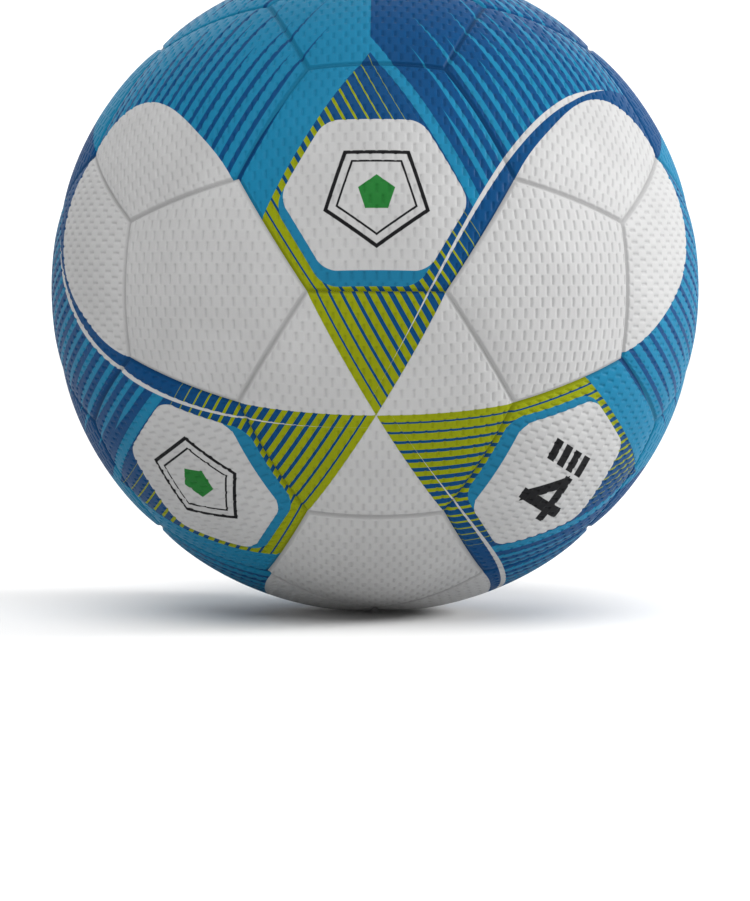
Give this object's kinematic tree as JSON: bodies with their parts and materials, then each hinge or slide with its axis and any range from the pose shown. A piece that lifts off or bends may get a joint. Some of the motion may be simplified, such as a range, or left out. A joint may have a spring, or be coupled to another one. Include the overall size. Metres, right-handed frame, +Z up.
{
  "type": "soccer ball",
  "caption": "Round 32-panel football with embossed, printed cover panels over foam, textile lining and a bladder, and a valve plug that pulls out.",
  "frame": {"origin": "centre of the ball", "axes": "+Z up, front towards -Y; the star panel faces front and a little down, the valve up and to the right"},
  "size_m": [0.206, 0.206, 0.206],
  "materials": {
    "star_cover": "satin printed TPU, lime and navy stripes on white, embossed with short slots",
    "badge_cover": "satin printed TPU, white patch in a blue, lime and navy border, embossed with short slots",
    "flank_cover": "satin printed TPU, blue with streaks and a white corner, embossed with short slots",
    "white_cover": "satin white TPU, embossed with short slots",
    "blue_cover": "satin printed TPU, blue with streaks, embossed with short slots",
    "foam": "closed-cell foam",
    "lining": "woven polyester and cotton",
    "thread": "waxed polyester",
    "bladder": "butyl, matt",
    "valve_rubber": "moulded rubber, satin"
  },
  "bodies": {
    "ball": {"star_hexagon_1": "star_cover", "star_hexagon_2": "star_cover", "badge_hexagon_1": "badge_cover", "badge_hexagon_2": "badge_cover", "badge_hexagon_3": "badge_cover", "badge_hexagon_4": "badge_cover", "badge_hexagon_5": "badge_cover", "badge_hexagon_6": "badge_cover", "flank_hexagon_1": "flank_cover", "flank_hexagon_2": "flank_cover", "flank_hexagon_3": "flank_cover", "flank_hexagon_4": "flank_cover", "flank_hexagon_5": "flank_cover", "flank_hexagon_6": "flank_cover", "flank_hexagon_7": "flank_cover", "flank_hexagon_8": "flank_cover", "flank_hexagon_9": "flank_cover", "flank_hexagon_10": "flank_cover", "flank_hexagon_11": "flank_cover", "valve_hexagon": "flank_cover", "white_pentagon_1": "white_cover", "white_pentagon_2": "white_cover", "white_pentagon_3": "white_cover", "white_pentagon_4": "white_cover", "white_pentagon_5": "white_cover", "white_pentagon_6": "white_cover", "blue_pentagon_1": "blue_cover", "blue_pentagon_2": "blue_cover", "blue_pentagon_3": "blue_cover", "blue_pentagon_4": "blue_cover", "blue_pentagon_5": "blue_cover", "blue_pentagon_6": "blue_cover", "foam_hexagons": "foam", "foam_pentagons": "foam", "lining_hexagons": "lining", "lining_pentagons": "lining", "seam_thread": "thread", "bladder": "bladder", "balance_patch": "bladder", "valve_housing": "valve_rubber"},
    "plug": {"valve_plug": "valve_rubber"}
  },
  "joints": [
    {"name": "plug_pull", "type": "slide", "parent": "ball", "child": "plug", "axis": [0.3568, 0, 0.9342], "range_m": [0, 0.024]}
  ]
}
